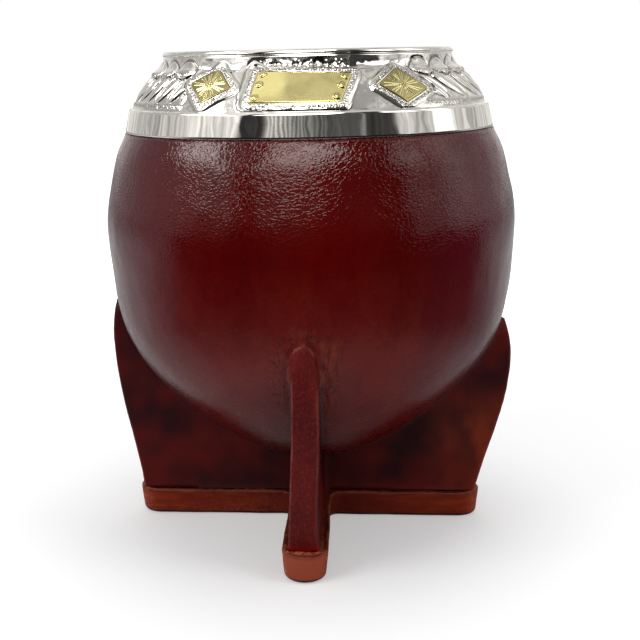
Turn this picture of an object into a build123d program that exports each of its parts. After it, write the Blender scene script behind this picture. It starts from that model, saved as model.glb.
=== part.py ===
from build123d import *
from math import cos, radians, sin
import os

# A mate cup: a calabash gourd in moulded leather, standing on four leather fins and a
# cross-shaped sole, with a sheet-metal rim that carries brass-coloured ornaments.
# Millimetres, +Z up. The origin is on the floor, under the middle of the cup.
# +X is the cup's right, -Y its front. Heights in the cup are measured along its own axis,
# which leans a little to the left.

# ---- the gourd's outline, measured on the leather ----
belly_radius = 47.5
underside_height = 16.1       # lowest point of the leather bowl above the floor
belly_rise = 53.0             # from that point up to the widest circle
shoulder_rise = 25.3          # from the widest circle up to the rim's lower edge
shoulder_radius = 42.5
lean = 1.15                   # degrees, the top towards -X
leather_thickness = 1.6
gourd_wall = 4.6
glue_gap = 0.1                # between the leather and the gourd

# ---- the metal rim ----
sheet_thickness = 1.0
band_height = 5.5
band_taper = 1.0              # how much smaller the band's radius is at its top
band_overlap = 0.1            # the band stands inside the leather's edge by this much
ledge_width = 0.7             # flat step between the band and the ornamented slope
slope_rise = 8.9
slope_bulge = 0.45            # the ornamented slope is slightly rounded outwards
lip_rise = 3.4                # from the top of the slope to the top of the rolled lip
lip_radius = 0.7              # of the rolled bead
mouth_radius = 30.6           # clear bore of the sleeve inside the mouth
sleeve_wall = 0.8
sleeve_depth = 12.0           # from the top of the slope down to the sleeve's lower edge
neck_gap = 0.3                # between the gourd's neck and the metal round it

# ---- ornaments on the slope ----
plate_thickness = 0.5
frame_height = 0.8
solder_film = 0.05            # under and round each soldered piece
frame_width = 1.3
rivet_radius = 0.62
rivet_height = 0.45
rivet_rounding = 0.3

# ---- fins and sole ----
fin_foot_thickness = 6.2
fin_top_thickness = 5.4
fin_edge_radius = 0.8
sole_thickness = 6.5
sole_width = 10.1             # of an arm, across its upper edge
sole_undercut = 1.0           # how far the sides draw in towards the floor
sole_crotch_radius = 3.0
sole_ledge_front = 3.3        # upper edge of the sole beyond the fin's foot, front and back
sole_ledge_side = 1.15

# Each fin: direction in degrees from +X, reach of its foot, of its fullest point and of its
# tip, and the heights of the last two.
fins = {
    "right": (0, 40.0, 47.8, 39.0, 46.6, 49.5),
    "back": (90, 41.2, 47.5, 43.0, 46.6, 53.0),
    "left": (180, 41.4, 47.9, 46.0, 47.2, 54.0),
    "front": (270, 41.2, 47.5, 43.0, 46.6, 53.0),
}
fin_bow = 0.9                 # how far a fin's edge bows out between foot and fullest point

# Corners of the ornaments: degrees round from the front, and share of the slope's height.
plate_corners = [(-15.4, 0.15), (11.8, 0.15), (17.0, 0.78), (-14.6, 0.86)]
left_diamond_corners = [(-30.8, 0.15), (-22.1, 0.47), (-29.6, 0.92), (-39.2, 0.59)]
right_diamond_corners = [(32.1, 0.10), (42.6, 0.38), (33.5, 0.87), (24.3, 0.50)]
rivet_places = [
    (-12.4, 0.77), (-12.9, 0.54), (-13.6, 0.26),
    (14.2, 0.69), (12.6, 0.50), (10.6, 0.27),
]
ornament_repeat = {"front": 0, "back": 180}

# ---- worked out from those ----
belly_height = underside_height + belly_rise
band_base = belly_height + shoulder_rise
band_top = band_base + band_height
slope_top = band_top + slope_rise
rim_top = slope_top + lip_rise
band_outer_radius = shoulder_radius - band_overlap
band_top_radius = band_outer_radius - band_taper
slope_base_radius = band_top_radius - ledge_width
sleeve_outer_radius = mouth_radius + sleeve_wall
slope_top_radius = sleeve_outer_radius + 2 * sheet_thickness
sleeve_base = slope_top - sleeve_depth

lean_sin, lean_cos = sin(radians(lean)), cos(radians(lean))
cup_foot = Vector(belly_height * lean_sin, 0, belly_height * (1 - lean_cos))
cup_axis = Axis(cup_foot, (-lean_sin, 0, lean_cos))
# Profiles of the cup are drawn here: first coordinate the radius, second the height.
profile_plane = Plane(cup_foot, x_dir=(lean_cos, 0, lean_sin), z_dir=(0, -1, 0))


def unit(x, y):
    length = (x * x + y * y) ** 0.5
    return x / length, y / length


# The leather's outline from its lowest point to the rim.
outline = Edge.make_spline(
    [
        Vector(0, underside_height),
        Vector(0.38 * belly_radius, underside_height + 0.094 * belly_rise),
        Vector(0.685 * belly_radius, underside_height + 0.300 * belly_rise),
        Vector(0.918 * belly_radius, underside_height + 0.575 * belly_rise),
        Vector(belly_radius, belly_height),
        Vector(shoulder_radius, band_base),
    ],
    tangents=[Vector(1, 0), Vector(-0.47, 1)],
)


def skin_points(depth, count=12):
    """Points of the line that lies this deep inside the leather's outline."""
    points = []
    for step in range(count + 1):
        here = outline @ (step / count)
        along = outline % (step / count)
        points.append((here.X - along.Y * depth, here.Y + along.X * depth))
    points[0] = (0, underside_height + depth)
    # The line ends level with the rim's lower edge whatever its depth.
    last_radius, last_height = points[-1]
    slant_x, slant_y = unit((outline % 1).X, (outline % 1).Y)
    climb = (band_base - last_height) / slant_y
    points[-1] = (last_radius + slant_x * climb, band_base)
    return points


def skin_radius_at_band(depth):
    return skin_points(depth)[-1][0]


def slope_point(share, out=0.0):
    """A point of the ornamented slope, moved out from its surface: radius and height."""
    run = slope_base_radius - slope_top_radius
    normal_r, normal_h = unit(slope_rise, run)
    bulge = slope_bulge * 4 * share * (1 - share) + out
    radius = slope_base_radius - run * share + normal_r * bulge
    return radius, band_top + slope_rise * share + normal_h * bulge


def solid_below(points):
    """The solid swept round the cup's axis by the area between a line and the axis."""
    with BuildPart() as swept:
        with BuildSketch(profile_plane):
            with BuildLine():
                Spline(*points, tangents=[(1, 0), (-0.47, 1)])
                Polyline(points[-1], (0, points[-1][1]), points[0])
            make_face()
        revolve(axis=cup_axis)
    return swept.part


def slope_shell(inner, outer):
    """The layer of the slope between two distances from its surface."""
    with BuildPart() as layer:
        with BuildSketch(profile_plane):
            with BuildLine():
                low = [slope_point(share, inner) for share in (0, 0.5, 1)]
                high = [slope_point(share, outer) for share in (0, 0.5, 1)]
                ThreePointArc(*low)
                Line(low[2], high[2])
                ThreePointArc(*high)
                Line(high[0], low[0])
            make_face()
        revolve(axis=cup_axis)
    return layer.part


def in_cup(x, y, height):
    """A place given along and across the leaning axis, in the part's own frame."""
    return cup_foot + Vector(x * lean_cos - height * lean_sin, y, x * lean_sin + height * lean_cos)


def slope_plane(degrees, share, out=0.0):
    """The plane that touches the slope there; its x runs round the cup, its y up the slope."""
    turn = radians(degrees)
    radius, height = slope_point(share, out)
    normal_r, normal_h = unit(slope_rise, slope_base_radius - slope_top_radius)
    centre = in_cup(radius * sin(turn), -radius * cos(turn), height)
    facing = in_cup(normal_r * sin(turn), -normal_r * cos(turn), normal_h) - cup_foot
    sideways = in_cup(cos(turn), sin(turn), 0) - cup_foot
    return Plane(centre, x_dir=sideways, z_dir=facing)


def corner_points(corners, plane):
    """The corners as they lie in a plane that touches the slope."""
    points = []
    for degrees, share in corners:
        radius, height = slope_point(share)
        turn = radians(degrees)
        place = in_cup(radius * sin(turn), -radius * cos(turn), height)
        local = plane.to_local_coords(place)
        points.append((local.X, local.Y))
    return points


def middle(corners):
    """The middle of a set of corners: degrees round the cup and share of the slope."""
    degrees = sum(corner[0] for corner in corners) / len(corners)
    share = sum(corner[1] for corner in corners) / len(corners)
    return degrees, share


def turned(corners, turn):
    return [(degrees + turn, share) for degrees, share in corners]


def slope_patch(corners, grow, inner, outer):
    """A piece of the slope's layer inside these corners, grown by a margin."""
    plane = slope_plane(*middle(corners))
    with BuildPart() as patch:
        with BuildSketch(plane):
            with BuildLine():
                Polyline(*corner_points(corners, plane), close=True)
            make_face()
            if grow:
                offset(amount=grow, kind=Kind.INTERSECTION)
        extrude(amount=slope_rise / 2, both=True)
        add(slope_shell(inner, outer), mode=Mode.INTERSECT)
    return patch.part


def fin_blade(direction, foot_reach, full_reach, full_height, tip_reach, tip_height):
    """One upright fin, from the middle of the foot out to its curved edge."""
    turn = radians(direction)
    outward = Vector(cos(turn), sin(turn), 0)
    across = Vector(-sin(turn), cos(turn), 0)
    side_plane = Plane((0, 0, 0), x_dir=outward, z_dir=(sin(turn), -cos(turn), 0))
    end_plane = Plane((0, 0, 0), x_dir=across, z_dir=outward)
    bow_reach = (foot_reach + full_reach) / 2 + fin_bow
    bow_height = (sole_thickness + full_height) / 2
    with BuildPart() as blade:
        with BuildSketch(side_plane):
            with BuildLine():
                Spline(
                    (foot_reach, sole_thickness),
                    (bow_reach, bow_height),
                    (full_reach, full_height),
                    (tip_reach, tip_height),
                )
                Polyline(
                    (tip_reach, tip_height),
                    (0.8 * tip_reach, tip_height + 2),
                    (0, tip_height + 2),
                    (0, sole_thickness),
                    (foot_reach, sole_thickness),
                )
            make_face()
        extrude(amount=fin_foot_thickness / 2, both=True)
        with BuildSketch(end_plane):
            with BuildLine():
                Polyline(
                    (-fin_foot_thickness / 2, sole_thickness),
                    (fin_foot_thickness / 2, sole_thickness),
                    (fin_top_thickness / 2, tip_height + 2),
                    (-fin_top_thickness / 2, tip_height + 2),
                    close=True,
                )
            make_face()
        extrude(amount=full_reach + fin_foot_thickness, mode=Mode.INTERSECT)
        curved_side = blade.faces().filter_by(GeomType.PLANE, reverse=True).sort_by(SortBy.AREA)[-1]
        fillet(curved_side.edges().sort_by(SortBy.LENGTH)[-2:], fin_edge_radius)
    return blade.part


def sole_arms(half_width, draw_in):
    """The sole's outline: one round-ended arm under each fin."""
    for name, (direction, foot_reach, *_) in fins.items():
        ledge = sole_ledge_front if name in ("front", "back") else sole_ledge_side
        length = foot_reach + ledge - draw_in
        with Locations(Location((0, 0), direction)):
            with Locations((length / 2 - half_width / 2, 0)):
                Rectangle(length - half_width, 2 * half_width)
            with Locations((length - half_width, 0)):
                Circle(half_width)


# ---- the leather cover: a bowl with its four fins ----
fin_blades = [fin_blade(*sizes) for sizes in fins.values()]
leather_outside = solid_below(skin_points(0))
leather_inside = solid_below(skin_points(leather_thickness))
with BuildPart() as leather_cover:
    add(leather_outside)
    for blade in fin_blades:
        add(blade)
    add(leather_inside, mode=Mode.SUBTRACT)

# ---- the sole ----
with BuildPart() as sole:
    for level, draw_in in ((sole_thickness, 0), (0, sole_undercut)):
        with BuildSketch(Plane.XY.offset(level)) as layer:
            sole_arms(sole_width / 2 - draw_in, draw_in)
            crotches = layer.vertices().sort_by(lambda corner: corner.center().length)[:4]
            fillet(crotches, sole_crotch_radius + draw_in)
    loft(ruled=True)

# ---- the gourd ----
gourd_depth = leather_thickness + glue_gap
gourd_outside = solid_below(skin_points(gourd_depth))
gourd_inside = solid_below(skin_points(gourd_depth + gourd_wall))
neck_outer = [
    (skin_radius_at_band(gourd_depth), band_base),
    (band_top_radius - sheet_thickness - neck_gap, band_top - sheet_thickness),
    slope_point(0.06, -sheet_thickness - neck_gap),
    slope_point(0.62, -sheet_thickness - neck_gap),
]
neck_inner_radius = sleeve_outer_radius + neck_gap
cavity_radius = skin_radius_at_band(gourd_depth + gourd_wall)
with BuildPart() as gourd_shell:
    add(gourd_outside)
    with BuildSketch(profile_plane):
        with BuildLine():
            Polyline(
                (0, band_base),
                *neck_outer,
                (0, neck_outer[-1][1]),
                close=True,
            )
        make_face()
    revolve(axis=cup_axis)
    add(gourd_inside, mode=Mode.SUBTRACT)
    with BuildSketch(profile_plane):
        with BuildLine():
            Polyline(
                (0, band_base),
                (cavity_radius, band_base),
                (neck_inner_radius, sleeve_base),
                (neck_inner_radius, rim_top),
                (0, rim_top),
                close=True,
            )
        make_face()
    revolve(axis=cup_axis, mode=Mode.SUBTRACT)

# ---- the metal rim: band, slope, rolled lip and inner sleeve, all one sheet ----
lip_centre_radius = mouth_radius + lip_radius
lip_centre_height = rim_top - lip_radius
with BuildPart() as rim:
    with BuildSketch(profile_plane):
        with BuildLine():
            Polyline(
                (band_outer_radius - sheet_thickness, band_base),
                (band_outer_radius, band_base),
                (band_top_radius, band_top),
                (slope_base_radius, band_top),
            )
            ThreePointArc(*[slope_point(share) for share in (0, 0.5, 1)])
            Polyline(
                slope_point(1),
                (lip_centre_radius + lip_radius, lip_centre_height),
            )
            ThreePointArc(
                (lip_centre_radius + lip_radius, lip_centre_height),
                (lip_centre_radius, rim_top),
                (mouth_radius, lip_centre_height),
            )
            inner_top = slope_point(0.9, -sheet_thickness)
            Polyline(
                (mouth_radius, lip_centre_height),
                (mouth_radius, sleeve_base),
                (sleeve_outer_radius, sleeve_base),
                (sleeve_outer_radius, inner_top[1]),
                inner_top,
            )
            inner_base = slope_point(0, -sheet_thickness)
            ThreePointArc(inner_top, slope_point(0.45, -sheet_thickness), inner_base)
            Polyline(
                inner_base,
                (band_top_radius - sheet_thickness, band_top - sheet_thickness),
                (band_outer_radius - sheet_thickness, band_base),
            )
        make_face()
    revolve(axis=cup_axis)

# ---- ornaments ----
ornaments = []
frames = []
for place, turn in ornament_repeat.items():
    shapes = {
        f"plate_{place}": plate_corners,
        f"diamond_{place}_left": left_diamond_corners,
        f"diamond_{place}_right": right_diamond_corners,
    }
    for name, corners in shapes.items():
        corners = turned(corners, turn)
        plate_top = solder_film + plate_thickness
        ornaments.append((name, slope_patch(corners, -solder_film, solder_film, plate_top)))
        frame = slope_patch(corners, frame_width, -sheet_thickness / 2, frame_height)
        opening = slope_patch(corners, 0, 0, 2 * frame_height)
        frames.append((frame, opening))
    for number, (degrees, share) in enumerate(rivet_places, start=1):
        rivet_plane = slope_plane(degrees + turn, share, 2 * solder_film + plate_thickness)
        with BuildPart() as rivet:
            with BuildSketch(rivet_plane):
                Circle(rivet_radius)
            extrude(amount=rivet_height)
            rivet_head = rivet.faces().sort_by(Axis(rivet_plane.origin, rivet_plane.z_dir))[-1]
            fillet(rivet_head.edges(), rivet_rounding)
        ornaments.append((f"rivet_{place}_{number}", rivet.part))

# The raised frames are pressed out of the rim's own sheet.
with BuildPart() as framed_rim:
    add(rim.part)
    for frame, opening in frames:
        add(frame)
    for frame, opening in frames:
        add(opening, mode=Mode.SUBTRACT)

os.makedirs("parts", exist_ok=True)
pieces = [
    ("sole", sole.part),
    ("leather_cover", leather_cover.part),
    ("gourd_shell", gourd_shell.part),
    ("rim", framed_rim.part),
]
for name, piece in pieces + ornaments:
    piece.label = name
    export_step(piece, f"parts/{name}.step")
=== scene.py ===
import math

import bpy
import numpy as np
from mathutils import Euler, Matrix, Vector
from mathutils.bvhtree import BVHTree


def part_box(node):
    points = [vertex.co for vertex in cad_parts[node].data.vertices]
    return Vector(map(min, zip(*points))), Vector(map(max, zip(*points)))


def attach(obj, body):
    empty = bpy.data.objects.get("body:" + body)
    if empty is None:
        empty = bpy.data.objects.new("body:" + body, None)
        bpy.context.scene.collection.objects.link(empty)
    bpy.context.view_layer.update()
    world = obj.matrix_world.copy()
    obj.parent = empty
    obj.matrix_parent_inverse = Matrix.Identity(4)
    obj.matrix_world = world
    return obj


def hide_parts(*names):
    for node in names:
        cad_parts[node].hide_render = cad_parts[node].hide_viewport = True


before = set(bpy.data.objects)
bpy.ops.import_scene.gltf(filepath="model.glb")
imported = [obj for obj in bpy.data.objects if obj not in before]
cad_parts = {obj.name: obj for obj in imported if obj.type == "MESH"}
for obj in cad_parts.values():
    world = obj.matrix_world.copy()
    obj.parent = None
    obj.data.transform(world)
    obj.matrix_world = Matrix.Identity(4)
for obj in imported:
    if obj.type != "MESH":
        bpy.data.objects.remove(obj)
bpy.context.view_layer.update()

# A mate cup: a gourd in dark red leather on a leather foot, with an ornamented metal rim.
# Shapes are worked out in millimetres in the part's own frame; meshes are in metres.
MM = 0.001

# ---- sizes shared with the CAD ----
BELLY_HEIGHT = 69.1
LEAN = math.radians(1.15)
LEATHER = 1.6
BAND_BASE, BAND_TOP = 94.4, 99.9
BAND_BASE_RADIUS, BAND_TOP_RADIUS = 42.4, 41.4
SLOPE_BASE_RADIUS, SLOPE_TOP_RADIUS = 40.7, 33.4
SLOPE_RISE = 8.9
SLOPE_BULGE = 0.45
MOUTH_RADIUS = 30.6
RIM_TOP = 112.2
SLEEVE_WALL = 0.8
SLEEVE_BASE = 96.8
PLATE_THICKNESS = 0.5
SOLE_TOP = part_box("sole")[1].z / MM
SOLE_HALF_WIDTH = 5.05
SOLE_UNDERCUT = 1.0

# Each fin: direction from the middle, height of its tip, and how far the sole's arm under it reaches.
FINS = {
    "right": ((1, 0), 49.5, 41.15),
    "back": ((0, 1), 53.0, 44.5),
    "left": ((-1, 0), 54.0, 42.55),
    "front": ((0, -1), 53.0, 44.5),
}
FIN_FOOT_HALF, FIN_TOP_HALF = 3.1, 2.7

# Corners of the ornaments: degrees round from the front, and share of the slope's height.
PLATE = [(-15.4, 0.15), (11.8, 0.15), (17.0, 0.78), (-14.6, 0.86)]
LEFT_DIAMOND = [(-30.8, 0.15), (-22.1, 0.47), (-29.6, 0.92), (-39.2, 0.59)]
RIGHT_DIAMOND = [(32.1, 0.10), (42.6, 0.38), (33.5, 0.87), (24.3, 0.50)]
ORNAMENT_TURNS = {"front": 0, "back": 180}

# ---- how the meshes are worked out ----
FAR = 9.0            # farther than any neighbour that is looked for
TOUCH = 0.02         # overlap of the leather with the gourd and the band, so that no gap shows
NET_MARGIN = 1.2     # room left round a piece's box for its surface net
SETTLE_ROUNDS = 3
PEBBLE_REACH = 0.62  # radius of a scattered bump, in steps of its pattern


# ================================================================ frame and noise
LEAN_SIN, LEAN_COS = math.sin(LEAN), math.cos(LEAN)
CUP_FOOT = np.array([BELLY_HEIGHT * LEAN_SIN, 0, BELLY_HEIGHT * (1 - LEAN_COS)])
CUP_X = np.array([LEAN_COS, 0, LEAN_SIN])
CUP_Z = np.array([-LEAN_SIN, 0, LEAN_COS])


def to_cup(points):
    """Places across and along the leaning cup's axis."""
    away = points - CUP_FOOT
    return away @ CUP_X, away[:, 1], away @ CUP_Z


def from_cup(x, y, height):
    return CUP_FOOT + x[..., None] * CUP_X + y[..., None] * np.array([0, 1, 0]) + height[..., None] * CUP_Z


def smooth_step(low, high, value):
    share = np.clip((value - low) / (high - low), 0, 1)
    return share * share * (3 - 2 * share)


def ridge(distance, centre, width):
    """A soft ridge, 1 along its middle."""
    return np.exp(-((distance - centre) / width) ** 2)


def hashed(cell, seed):
    """Even random numbers from 0 to 1, one for each whole-numbered cell."""
    key = cell[..., 0] * 73856093 ^ cell[..., 1] * 19349663 ^ seed * 83492791
    if cell.shape[-1] > 2:
        key = key ^ cell[..., 2] * 48611
    key = ((key ^ (key >> 13)) * 1274126177) & 0xFFFFFFFF
    key = ((key ^ (key >> 15)) * 2246822519) & 0xFFFFFFFF
    return ((key ^ (key >> 16)) & 0xFFFF) / 65535.0


def noise(points, size, seed):
    """Smooth random values from -1 to 1 that change over about this distance."""
    scaled = points / size
    cell = np.floor(scaled).astype(np.int64)
    part = scaled - cell
    part = part * part * (3 - 2 * part)
    total = 0
    for corner in np.ndindex((2,) * points.shape[-1]):
        weight = np.prod(np.where(corner, part, 1 - part), axis=-1)
        total = total + weight * (2 * hashed(cell + np.array(corner), seed) - 1)
    return total


def pebbles(u, v, size, seed):
    """Round bumps scattered over a flat pattern: 1 on each bump's top, 0 between them."""
    flat = np.stack([u, v], -1) / size
    cell = np.floor(flat).astype(np.int64)
    nearest = np.full(u.shape, FAR)
    for step in np.ndindex(3, 3):
        there = cell + np.array(step) - 1
        centre = there + 0.25 + 0.5 * np.stack([hashed(there, seed), hashed(there, seed + 1)], -1)
        nearest = np.minimum(nearest, np.linalg.norm(flat - centre, axis=-1))
    return np.clip(1 - (nearest / PEBBLE_REACH) ** 2, 0, 1)


# ================================================================ meshes
def new_piece(name, points, faces, smooth=True):
    mesh = bpy.data.meshes.new(name)
    mesh.vertices.add(len(points))
    mesh.vertices.foreach_set("co", (np.asarray(points) * MM).astype(np.float32).ravel())
    faces = np.asarray(faces, np.int32)
    corners = faces.shape[1]
    mesh.loops.add(faces.size)
    mesh.loops.foreach_set("vertex_index", faces.ravel())
    mesh.polygons.add(len(faces))
    mesh.polygons.foreach_set("loop_start", np.arange(len(faces), dtype=np.int32) * corners)
    mesh.update(calc_edges=True)
    mesh.validate()
    mesh.polygons.foreach_set("use_smooth", np.full(len(mesh.polygons), smooth))
    piece = bpy.data.objects.new(name, mesh)
    bpy.context.scene.collection.objects.link(piece)
    return piece


def set_attribute(piece, name, values):
    attribute = piece.data.attributes.new(name, "FLOAT", "POINT")
    attribute.data.foreach_set("value", np.asarray(values, np.float32).ravel())


def grid_faces(rows, columns, closed_rows=False, closed_columns=False):
    """Four-sided faces between the points of a grid that is stored row by row."""
    row = np.arange(rows if closed_rows else rows - 1)
    column = np.arange(columns if closed_columns else columns - 1)
    row, column = (a.ravel() for a in np.meshgrid(row, column, indexing="ij"))
    next_row, next_column = (row + 1) % rows, (column + 1) % columns
    return np.stack([
        row * columns + column,
        row * columns + next_column,
        next_row * columns + next_column,
        next_row * columns + column,
    ], -1)


def surface_net(field, low, high, cell):
    """Points and faces of the surface where a field of signed distances is zero."""
    axes = [np.arange(a, b + cell, cell) for a, b in zip(low, high)]
    shape = tuple(len(axis) for axis in axes)
    values = np.empty(shape, np.float32)
    for layer, height in enumerate(axes[2]):
        flat = np.stack(np.meshgrid(axes[0], axes[1], [height], indexing="ij"), -1).reshape(-1, 3)
        values[:, :, layer] = field(flat).reshape(shape[:2])
    inside = values < 0
    count = np.zeros(tuple(n - 1 for n in shape), np.int8)
    for corner in np.ndindex(2, 2, 2):
        count += inside[tuple(slice(c, n - 1 + c) for c, n in zip(corner, shape))]
    cells = np.argwhere((count > 0) & (count < 8))
    index = np.full(count.shape, -1, np.int32)
    index[tuple(cells.T)] = np.arange(len(cells))
    total, crossings = np.zeros((len(cells), 3)), np.zeros(len(cells))
    for axis in range(3):
        for start in np.ndindex(2, 2, 2):
            if start[axis]:
                continue
            end = list(start)
            end[axis] = 1
            a = values[tuple((cells + start).T)].astype(float)
            b = values[tuple((cells + end).T)].astype(float)
            cut = (a < 0) != (b < 0)
            place = np.array(start, float)[None].repeat(len(cells), 0)
            place[:, axis] = np.where(cut, a / np.where(a == b, 1, a - b), 0)
            total[cut] += place[cut]
            crossings += cut
    points = np.array(low) + cell * (cells + total / crossings[:, None])
    faces = []
    for axis in range(3):
        u, v = (axis + 1) % 3, (axis + 2) % 3
        here = [slice(None)] * 3
        here[u] = here[v] = slice(1, -1)
        here[axis] = slice(0, -1)
        there = list(here)
        there[axis] = slice(1, None)
        first, second = inside[tuple(here)], inside[tuple(there)]
        edges = np.argwhere(first != second)
        outward = first[tuple(edges.T)]
        ring = []
        for du, dv in ((0, 0), (1, 0), (1, 1), (0, 1)):
            spot = edges.copy()
            spot[:, u] += du
            spot[:, v] += dv
            ring.append(index[tuple(spot.T)])
        ring = np.stack(ring, -1)
        ring[~outward] = ring[~outward][:, ::-1]
        faces.append(ring)
    faces = np.concatenate(faces)
    return points, faces[(faces >= 0).all(1)]


def neighbour_mean(points, faces):
    """The mean of each point's neighbours along the faces' edges."""
    total, count = np.zeros_like(points), np.zeros(len(points))
    for step in range(faces.shape[1]):
        a, b = faces[:, step], faces[:, (step + 1) % faces.shape[1]]
        for first, second in ((a, b), (b, a)):
            for axis in range(3):
                total[:, axis] += np.bincount(first, points[second, axis], len(points))
            count += np.bincount(first, minlength=len(points))
    return total / np.maximum(count, 1)[:, None]


def gradient(field, points, step=0.05):
    sides = []
    for axis in range(3):
        shift = np.zeros(3)
        shift[axis] = step
        sides.append((field(points + shift) - field(points - shift)) / (2 * step))
    return np.stack(sides, -1)


def settle(field, points, faces):
    """Evens out the points and puts them back on the field's zero surface."""
    for _ in range(SETTLE_ROUNDS):
        points = points + 0.5 * (neighbour_mean(points, faces) - points)
        slope = gradient(field, points)
        size = np.maximum((slope ** 2).sum(1), 0.2)
        move = (field(points) / size)[:, None] * slope
        points = points - np.clip(move, -0.4, 0.4)
    return points


def outward_normals(field, points):
    slope = gradient(field, points)
    return slope / np.maximum(np.linalg.norm(slope, axis=1), 1e-6)[:, None]


def smooth_union(a, b, width):
    """Distance outside two joined bodies, with a fillet where they meet."""
    share = np.clip(0.5 + 0.5 * (b - a) / width, 0, 1)
    return b * (1 - share) + a * share - width * share * (1 - share)


# ================================================================ shapes read from the frame
def node_tree(node):
    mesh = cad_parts[node].data
    points = np.empty(len(mesh.vertices) * 3)
    mesh.vertices.foreach_get("co", points)
    return BVHTree.FromPolygons(
        [Vector(p) for p in points.reshape(-1, 3) / MM],
        [tuple(polygon.vertices) for polygon in mesh.polygons],
    )


COVER = node_tree("leather_cover")
LOWEST, HIGHEST = -90.0, 31.0      # degrees above the horizontal, from the cup's centre
MIRRORED = 35.0                    # degrees of the outline repeated past its lowest point
SKIN_DEGREE, FIN_DEGREE = 18, 5    # of the polynomials that stand for the outlines
SHOULDER_SLIMMING = 0.42           # the skin is drawn in this much at the shoulder
SHOULDER_HEIGHT, SHOULDER_SPREAD = 82, 7.5
OUTSIDE = 120.0                    # a place out here is clear of the cup


def read_skin():
    """How far the leather's inner side lies from the cup's centre, as a smooth function of the
    degrees above the horizontal. The outline is mirrored past its lowest point, to be level there."""
    centre = CUP_FOOT + BELLY_HEIGHT * CUP_Z
    angles = np.linspace(LOWEST + 0.5, HIGHEST, 170)
    reach = []
    for angle in np.radians(angles):
        found = []
        for turn in np.radians([45, 135, 225, 315]):
            level = math.cos(angle)
            way = level * math.cos(turn) * CUP_X + math.sin(angle) * CUP_Z
            way = way + np.array([0, level * math.sin(turn), 0])
            found.append(COVER.ray_cast(Vector(centre), Vector(way))[3])
        reach.append(np.mean(found))
    reach = np.array(reach)
    near = angles < LOWEST + MIRRORED
    angles = np.concatenate([2 * LOWEST - angles[near][::-1], angles])
    reach = np.concatenate([reach[near][::-1], reach])
    return np.polynomial.Chebyshev.fit(angles, reach, SKIN_DEGREE)


SKIN = read_skin()
SKIN_BEND = SKIN.deriv()


def skin_distance(x, y, height):
    """Distance outside the leather's inner side, negative inside the gourd."""
    level, rise = np.hypot(x, y), height - BELLY_HEIGHT
    angle = np.clip(np.degrees(np.arctan2(rise, level)), LOWEST, HIGHEST)
    reach = SKIN(angle)
    bend = SKIN_BEND(angle) * 180 / math.pi
    slim = SHOULDER_SLIMMING * ridge(height, SHOULDER_HEIGHT, SHOULDER_SPREAD)
    return (np.hypot(level, rise) - reach) / np.sqrt(1 + (bend / reach) ** 2) + slim


def read_fin(direction, tip):
    """How far a fin reaches at each height, as a polynomial of the height."""
    heights = np.linspace(SOLE_TOP + 0.3, tip - 1.0, 40)
    way = Vector((-direction[0], -direction[1], 0))
    start = [OUTSIDE * part for part in direction]
    reach = [OUTSIDE - COVER.ray_cast(Vector((*start, z)), way)[3] for z in heights]
    return np.polyfit(heights, reach, FIN_DEGREE)


FIN_OUTLINES = {name: read_fin(*sizes[:2]) for name, sizes in FINS.items()}


# ================================================================ the leather cover
FIN_CAP = 8.0          # height over which a fin's top narrows to a round arch
FIN_CORNER = 0.7       # radius of a fin's outer corners
FIN_SINK = 0.35        # the fins' feet sit this deep in the sole
FIN_FLARE = 0.45       # a fin is this much wider to each side at its very foot
FIN_WANDER = 0.35      # how far a fin's edge wanders from side to side
FIN_TOP_SINK = 0.25    # the top of the edge sinks until it lies flush with the gourd
FIN_MERGE = 1.5        # how softly the fins run into each other under the gourd
PLEAT_WIDTH = 1.9      # from one fold to the next where the skin is gathered
COVER_CELL, COVER_CELL_QUICK = 0.62, 1.0       # mesh size


def along_arm(points, direction):
    """How far each place lies out along a fin's direction, and across it."""
    dx, dy = direction
    return points[:, 0] * dx + points[:, 1] * dy, points[:, 0] * dy - points[:, 1] * dx


def rounded(side, edge, radius):
    """Distance outside two faces that meet in a rounded corner."""
    q = np.stack([side + radius, edge + radius], -1)
    return np.linalg.norm(np.maximum(q, 0), axis=-1) + np.minimum(q.max(-1), 0) - radius


def fin_sides(points, name):
    """Distances outside a fin's flat sides and outside its outer edge."""
    (dx, dy), tip, _ = FINS[name]
    height = points[:, 2]
    out, across = along_arm(points, (dx, dy))
    level = np.clip(height, SOLE_TOP, tip)
    up = (level - SOLE_TOP) / (tip - SOLE_TOP)
    half = FIN_FOOT_HALF + (FIN_TOP_HALF - FIN_FOOT_HALF) * up
    half = half + FIN_FLARE * np.exp(-(level - SOLE_TOP) / 1.3)
    arch = np.clip((height - (tip - FIN_CAP)) / FIN_CAP, 0, 0.999)
    half = half * (1 - arch ** 2.6) ** 0.5
    across = across - FIN_WANDER * np.sin(height * 0.11 + out * 0.03 + 2.1 * dx + 0.7 * dy)
    sink = FIN_TOP_SINK * smooth_step(tip - FIN_CAP, tip, height)
    # The edge leans, so the distance along the level is a little more than the true one.
    edge = 0.97 * (out - np.polyval(FIN_OUTLINES[name], level) + sink)
    return np.abs(across) - half, edge


def fin_distance(points, name):
    direction, tip, _ = FINS[name]
    height, out = points[:, 2], along_arm(points, direction)[0]
    distance = np.maximum(rounded(*fin_sides(points, name), FIN_CORNER), height - tip)
    distance = np.maximum(distance, (SOLE_TOP - FIN_SINK) - height)
    return np.maximum(distance, -out - 2)


def fin_corner(points):
    """How far each place is from the outer corners of the nearest fin, below its top."""
    nearest = np.full(len(points), FAR)
    for name, (_, tip, _) in FINS.items():
        from_corner = np.hypot(*fin_sides(points, name))
        nearest = np.minimum(nearest, from_corner + 2 * smooth_step(tip - 7, tip - 2, points[:, 2]))
    return nearest


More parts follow.
